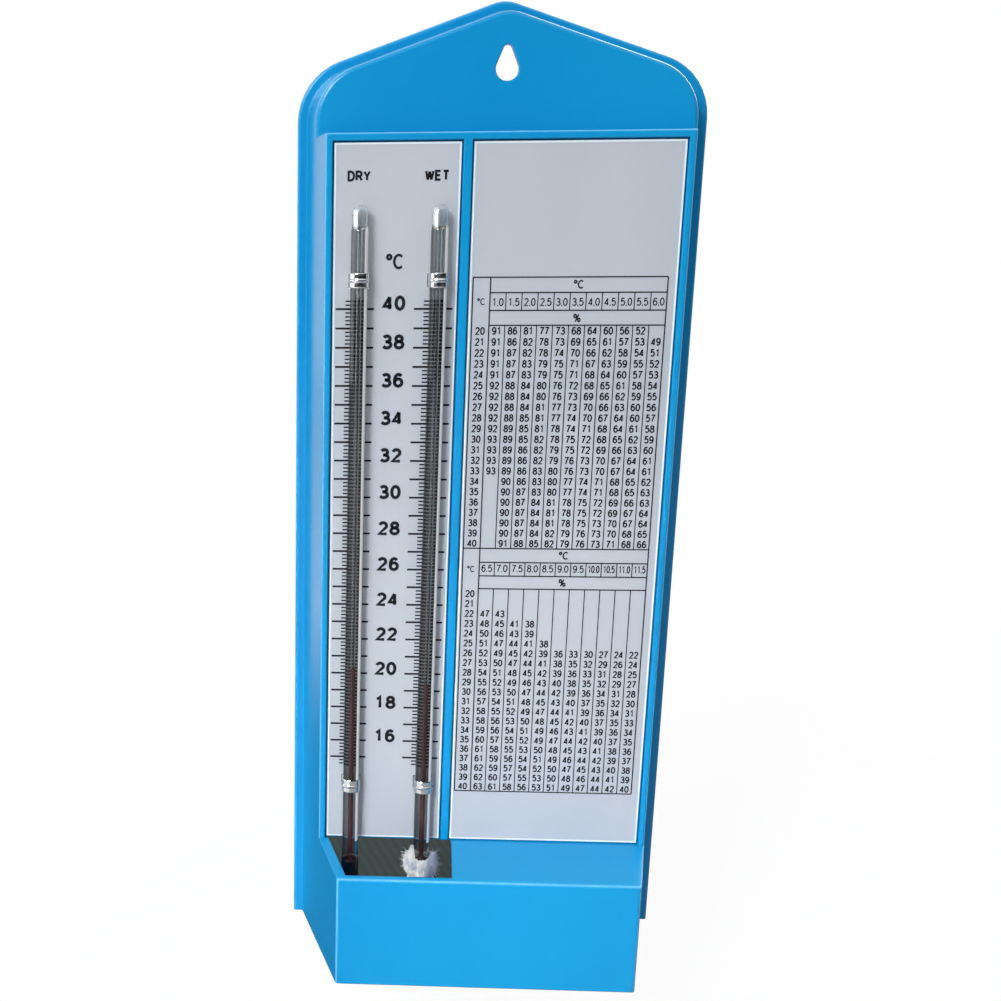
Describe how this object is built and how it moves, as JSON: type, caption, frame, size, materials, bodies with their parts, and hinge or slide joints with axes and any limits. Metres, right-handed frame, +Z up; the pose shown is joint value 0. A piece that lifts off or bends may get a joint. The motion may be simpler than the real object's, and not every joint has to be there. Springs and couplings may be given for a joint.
{
  "type": "wet and dry bulb hygrometer",
  "caption": "Wall-hung wet and dry bulb hygrometer: moulded case, glass thermometers on a printed scale, humidity table, cotton wick and a water feeder that pulls out of the base.",
  "frame": {"origin": "middle of the base: half way across the width and the depth, at the height of the open bottom", "axes": "+Z up the instrument, +Y towards the wall, +X to the right seen from the front"},
  "size_m": [0.12, 0.05, 0.29],
  "materials": {
    "case_plastic": "moulded, semi-gloss medium blue",
    "printed_plate": "white sheet with black print",
    "stem_glass": "clear drawn glass",
    "dyed_liquid": "brownish red dyed thermometer liquid",
    "strap_metal": "bright thin sheet",
    "cotton": "white frayed cotton",
    "thread": "white sewing thread",
    "feeder_glass": "clear blown glass",
    "water": "clear distilled water",
    "clip_steel": "spring strip",
    "screw_steel": "plated"
  },
  "bodies": {
    "case": {"case": "case_plastic", "scale_plate": "printed_plate", "table_plate": "printed_plate", "dry_tube": "stem_glass", "wet_tube": "stem_glass", "dry_reservoir": "dyed_liquid", "wet_reservoir": "dyed_liquid", "dry_strap_upper": "strap_metal", "dry_strap_lower": "strap_metal", "wet_strap_upper": "strap_metal", "wet_strap_lower": "strap_metal", "wick": "cotton", "wick_tie_upper": "thread", "wick_tie_lower": "thread", "feeder_clip_left": "clip_steel", "feeder_clip_right": "clip_steel", "feeder_clip_screws": "screw_steel"},
    "dry_level": {"dry_column": "dyed_liquid", "dry_meniscus": "dyed_liquid"},
    "wet_level": {"wet_column": "dyed_liquid", "wet_meniscus": "dyed_liquid"},
    "feeder": {"feeder_tube": "feeder_glass", "feeder_water": "water"}
  },
  "joints": [
    {"name": "dry_level", "type": "slide", "parent": "case", "child": "dry_level", "axis": [0, 0, 1], "range_m": [-0.03036, 0.10764], "deforming": ["dry_column"]},
    {"name": "wet_level", "type": "slide", "parent": "case", "child": "wet_level", "axis": [0, 0, 1], "range_m": [-0.02539, 0.11261], "deforming": ["wet_column"]},
    {"name": "feeder_slide", "type": "slide", "parent": "case", "child": "feeder", "axis": [0, 0, -1], "range_m": [0, 0.035]}
  ]
}
